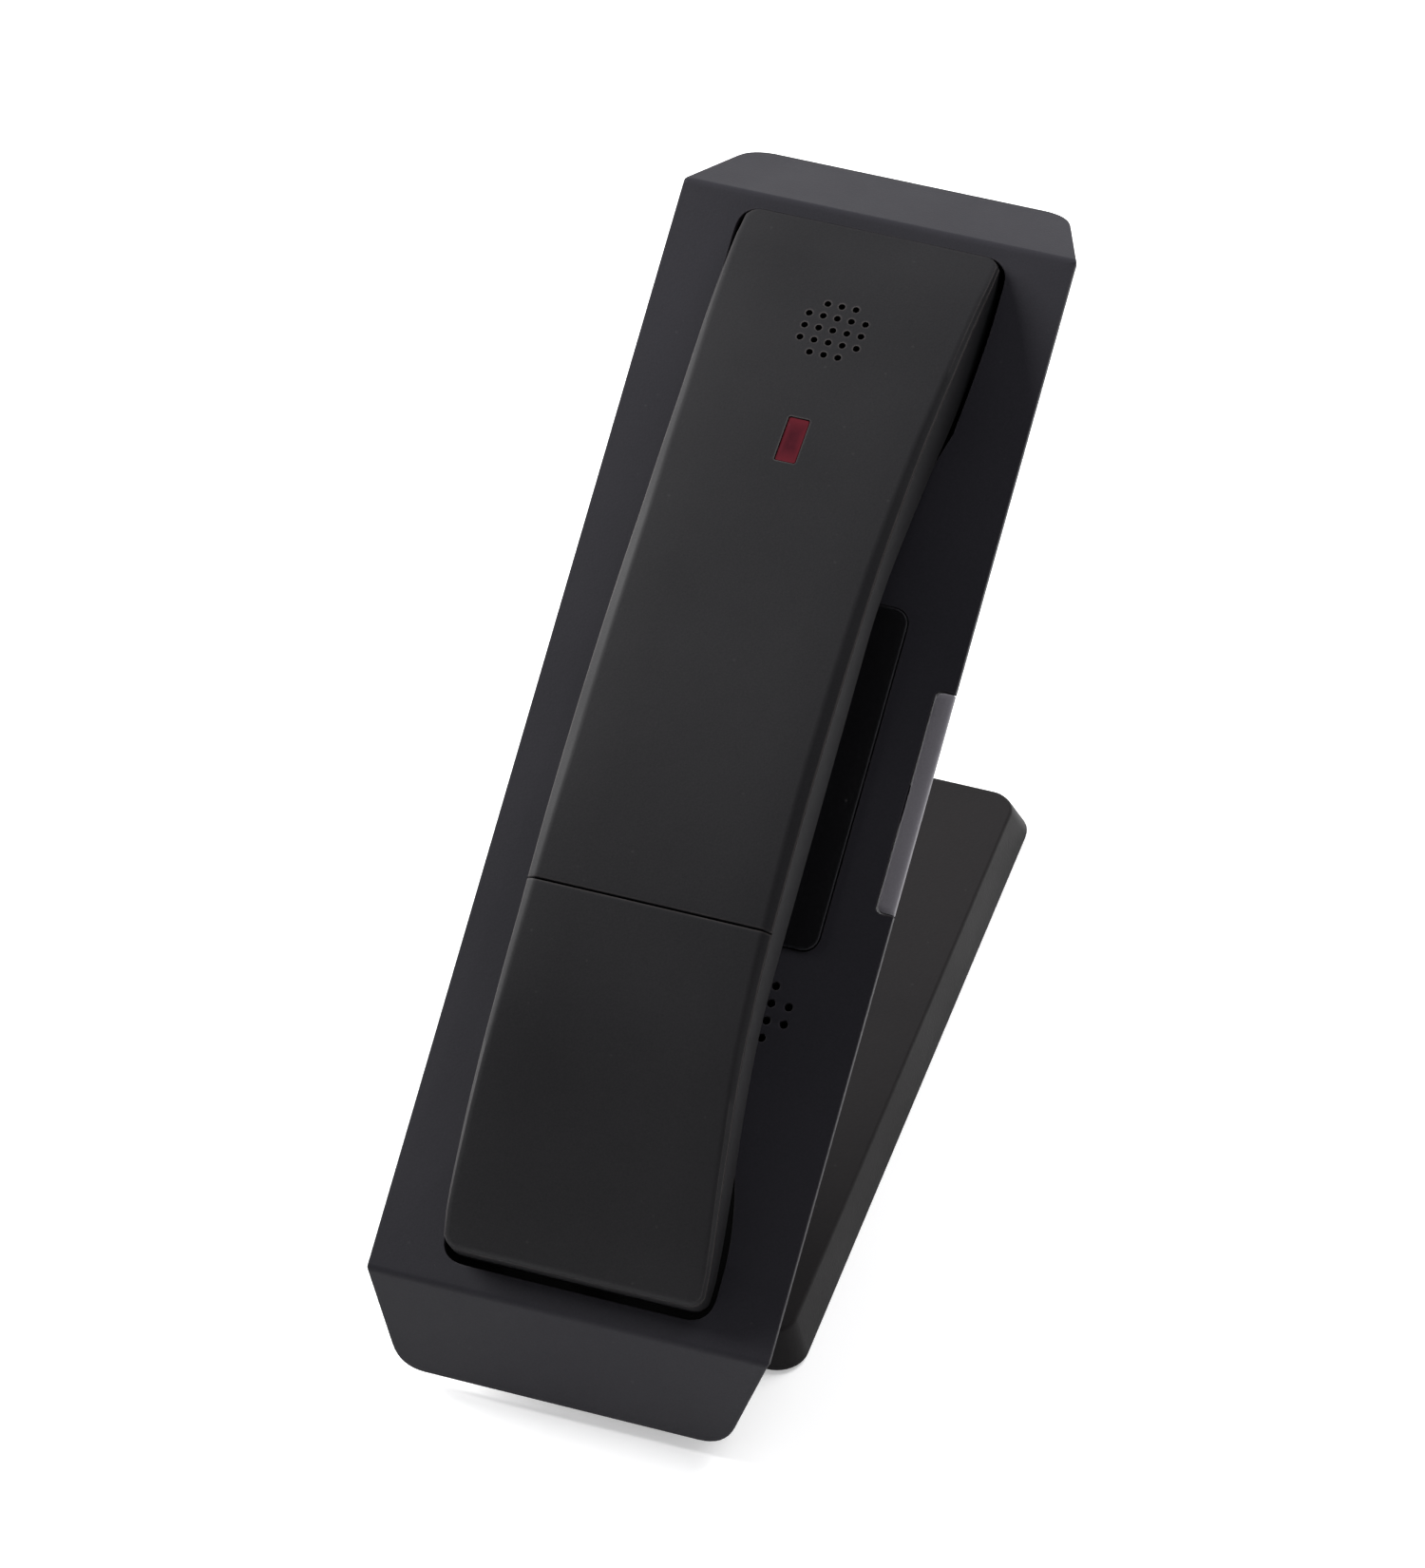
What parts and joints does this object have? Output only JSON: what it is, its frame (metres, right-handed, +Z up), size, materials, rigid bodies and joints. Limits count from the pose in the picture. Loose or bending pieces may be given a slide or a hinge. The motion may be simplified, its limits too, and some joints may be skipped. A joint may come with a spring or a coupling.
{
  "type": "cordless telephone",
  "caption": "Slim cordless telephone: an arched handset lies face down in a tilted charging base made of folded plate, hinged to a flat weighted foot.",
  "frame": {"origin": "centre of the foot's sole, on the table", "axes": "+Z up, -Y towards the user's side where the base is lowest, +X to the side of the long grey key"},
  "size_m": [0.076, 0.2077, 0.131],
  "materials": {
    "charcoal_paint": "fine matt powder paint, charcoal",
    "charcoal_plastic": "fine matt, charcoal",
    "dark_plastic": "matt, near black",
    "gloss_black": "polished black",
    "grey_plastic": "satin lilac grey",
    "key_plastic": "satin dark grey",
    "red_window": "clear dark red",
    "rubber": "soft matt black",
    "steel": "zinc plated",
    "gilt": "gold flashed",
    "board": "green solder mask",
    "cell_wrap": "wrapped metal cells"
  },
  "bodies": {
    "foot": {"foot_shell": "charcoal_plastic", "foot_sole": "rubber", "ballast_plate": "steel", "ballast_screw_left": "steel", "ballast_screw_right": "steel", "hinge_pin": "steel"},
    "base": {"faceplate": "charcoal_paint", "rear_housing": "charcoal_plastic", "upper_cradle": "dark_plastic", "lower_cradle": "dark_plastic", "panel_lens": "gloss_black", "display_module": "steel", "base_board": "board", "base_speaker": "steel", "key_switch": "dark_plastic", "charge_contact_left": "gilt", "charge_contact_right": "gilt", "line_socket": "dark_plastic", "power_socket": "dark_plastic", "strip_antenna": "gilt", "housing_screw_1": "steel", "housing_screw_2": "steel", "housing_screw_3": "steel", "housing_screw_4": "steel"},
    "side_key": {"side_key": "grey_plastic"},
    "handset": {"handset_front_shell": "charcoal_plastic", "handset_back_cover": "charcoal_plastic", "handset_board": "board", "handset_display": "gloss_black", "handset_screw_1": "steel", "handset_screw_2": "steel", "keypad_mat": "rubber", "earpiece": "steel", "microphone": "steel", "ringer": "steel", "indicator_window": "red_window", "indicator_lamp": "red_window", "receiver_board": "board", "battery_pack": "cell_wrap", "battery_contact_left": "gilt", "battery_contact_right": "gilt", "charge_stud_left": "gilt", "charge_stud_right": "gilt"},
    "battery_cover": {"battery_cover": "charcoal_plastic"},
    "number_key_1": {"number_key_1": "key_plastic"},
    "number_key_2": {"number_key_2": "key_plastic"},
    "number_key_3": {"number_key_3": "key_plastic"},
    "number_key_4": {"number_key_4": "key_plastic"},
    "number_key_5": {"number_key_5": "key_plastic"},
    "number_key_6": {"number_key_6": "key_plastic"},
    "number_key_7": {"number_key_7": "key_plastic"},
    "number_key_8": {"number_key_8": "key_plastic"},
    "number_key_9": {"number_key_9": "key_plastic"},
    "number_key_10": {"number_key_10": "key_plastic"},
    "number_key_11": {"number_key_11": "key_plastic"},
    "number_key_12": {"number_key_12": "key_plastic"},
    "call_key_left": {"call_key_left": "key_plastic"},
    "call_key_right": {"call_key_right": "key_plastic"}
  },
  "joints": [
    {"name": "base_fold", "type": "hinge", "parent": "foot", "child": "base", "pos_m": [0, -0.071, 0.0134], "axis": [1, 0, 0], "range_deg": [-30, 0]},
    {"name": "handset_lift", "type": "slide", "parent": "base", "child": "handset", "axis": [0, -0.5039, 0.8637], "range_m": [0, 0.05]},
    {"name": "battery_cover_lift", "type": "slide", "parent": "handset", "child": "battery_cover", "axis": [0, -0.5039, 0.8637], "range_m": [0, 0.03]},
    {"name": "side_key_press", "type": "slide", "parent": "base", "child": "side_key", "axis": [0, 0.5039, -0.8637], "range_m": [0, 0.0007], "stiffness_N_per_m": 900, "springref_m": -0.001},
    {"name": "number_key_1_press", "type": "slide", "parent": "handset", "child": "number_key_1", "axis": [0, -0.5039, 0.8637], "range_m": [0, 0.0006], "stiffness_N_per_m": 800, "springref_m": -0.001},
    {"name": "number_key_2_press", "type": "slide", "parent": "handset", "child": "number_key_2", "axis": [0, -0.5039, 0.8637], "range_m": [0, 0.0006], "stiffness_N_per_m": 800, "springref_m": -0.001},
    {"name": "number_key_3_press", "type": "slide", "parent": "handset", "child": "number_key_3", "axis": [0, -0.5039, 0.8637], "range_m": [0, 0.0006], "stiffness_N_per_m": 800, "springref_m": -0.001},
    {"name": "number_key_4_press", "type": "slide", "parent": "handset", "child": "number_key_4", "axis": [0, -0.5039, 0.8637], "range_m": [0, 0.0006], "stiffness_N_per_m": 800, "springref_m": -0.001},
    {"name": "number_key_5_press", "type": "slide", "parent": "handset", "child": "number_key_5", "axis": [0, -0.5039, 0.8637], "range_m": [0, 0.0006], "stiffness_N_per_m": 800, "springref_m": -0.001},
    {"name": "number_key_6_press", "type": "slide", "parent": "handset", "child": "number_key_6", "axis": [0, -0.5039, 0.8637], "range_m": [0, 0.0006], "stiffness_N_per_m": 800, "springref_m": -0.001},
    {"name": "number_key_7_press", "type": "slide", "parent": "handset", "child": "number_key_7", "axis": [0, -0.5039, 0.8637], "range_m": [0, 0.0006], "stiffness_N_per_m": 800, "springref_m": -0.001},
    {"name": "number_key_8_press", "type": "slide", "parent": "handset", "child": "number_key_8", "axis": [0, -0.5039, 0.8637], "range_m": [0, 0.0006], "stiffness_N_per_m": 800, "springref_m": -0.001},
    {"name": "number_key_9_press", "type": "slide", "parent": "handset", "child": "number_key_9", "axis": [0, -0.5039, 0.8637], "range_m": [0, 0.0006], "stiffness_N_per_m": 800, "springref_m": -0.001},
    {"name": "number_key_10_press", "type": "slide", "parent": "handset", "child": "number_key_10", "axis": [0, -0.5039, 0.8637], "range_m": [0, 0.0006], "stiffness_N_per_m": 800, "springref_m": -0.001},
    {"name": "number_key_11_press", "type": "slide", "parent": "handset", "child": "number_key_11", "axis": [0, -0.5039, 0.8637], "range_m": [0, 0.0006], "stiffness_N_per_m": 800, "springref_m": -0.001},
    {"name": "number_key_12_press", "type": "slide", "parent": "handset", "child": "number_key_12", "axis": [0, -0.5039, 0.8637], "range_m": [0, 0.0006], "stiffness_N_per_m": 800, "springref_m": -0.001},
    {"name": "call_key_left_press", "type": "slide", "parent": "handset", "child": "call_key_left", "axis": [0, -0.5039, 0.8637], "range_m": [0, 0.0006], "stiffness_N_per_m": 800, "springref_m": -0.001},
    {"name": "call_key_right_press", "type": "slide", "parent": "handset", "child": "call_key_right", "axis": [0, -0.5039, 0.8637], "range_m": [0, 0.0006], "stiffness_N_per_m": 800, "springref_m": -0.001}
  ]
}
